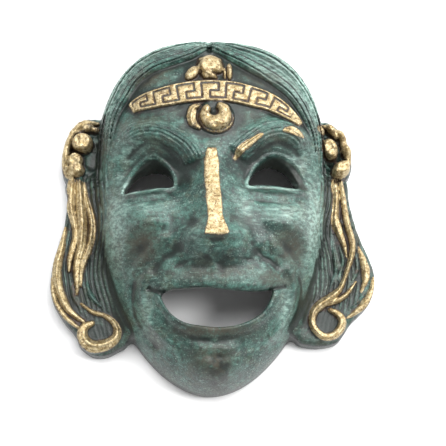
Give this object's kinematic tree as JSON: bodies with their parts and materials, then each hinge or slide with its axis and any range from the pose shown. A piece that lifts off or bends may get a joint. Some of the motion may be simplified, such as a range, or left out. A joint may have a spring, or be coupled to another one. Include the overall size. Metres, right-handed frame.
{
  "type": "theatre mask",
  "caption": "Hollow cast bronze wall mask of a laughing ancient comedy player, with side curls, headband and open eyes and mouth.",
  "frame": {"origin": "centre of the mask's outline, in the plane of its flat back rim", "axes": "+Z out of the face, away from the wall; +Y from chin to crown; +X to the viewer's right when the face is looked at"},
  "size_m": [0.1274, 0.1416, 0.0495],
  "materials": {
    "bronze": "green patina with polished golden high points, soft wax sheen"
  },
  "bodies": {
    "root": {"mask": "bronze"}
  },
  "joints": []
}
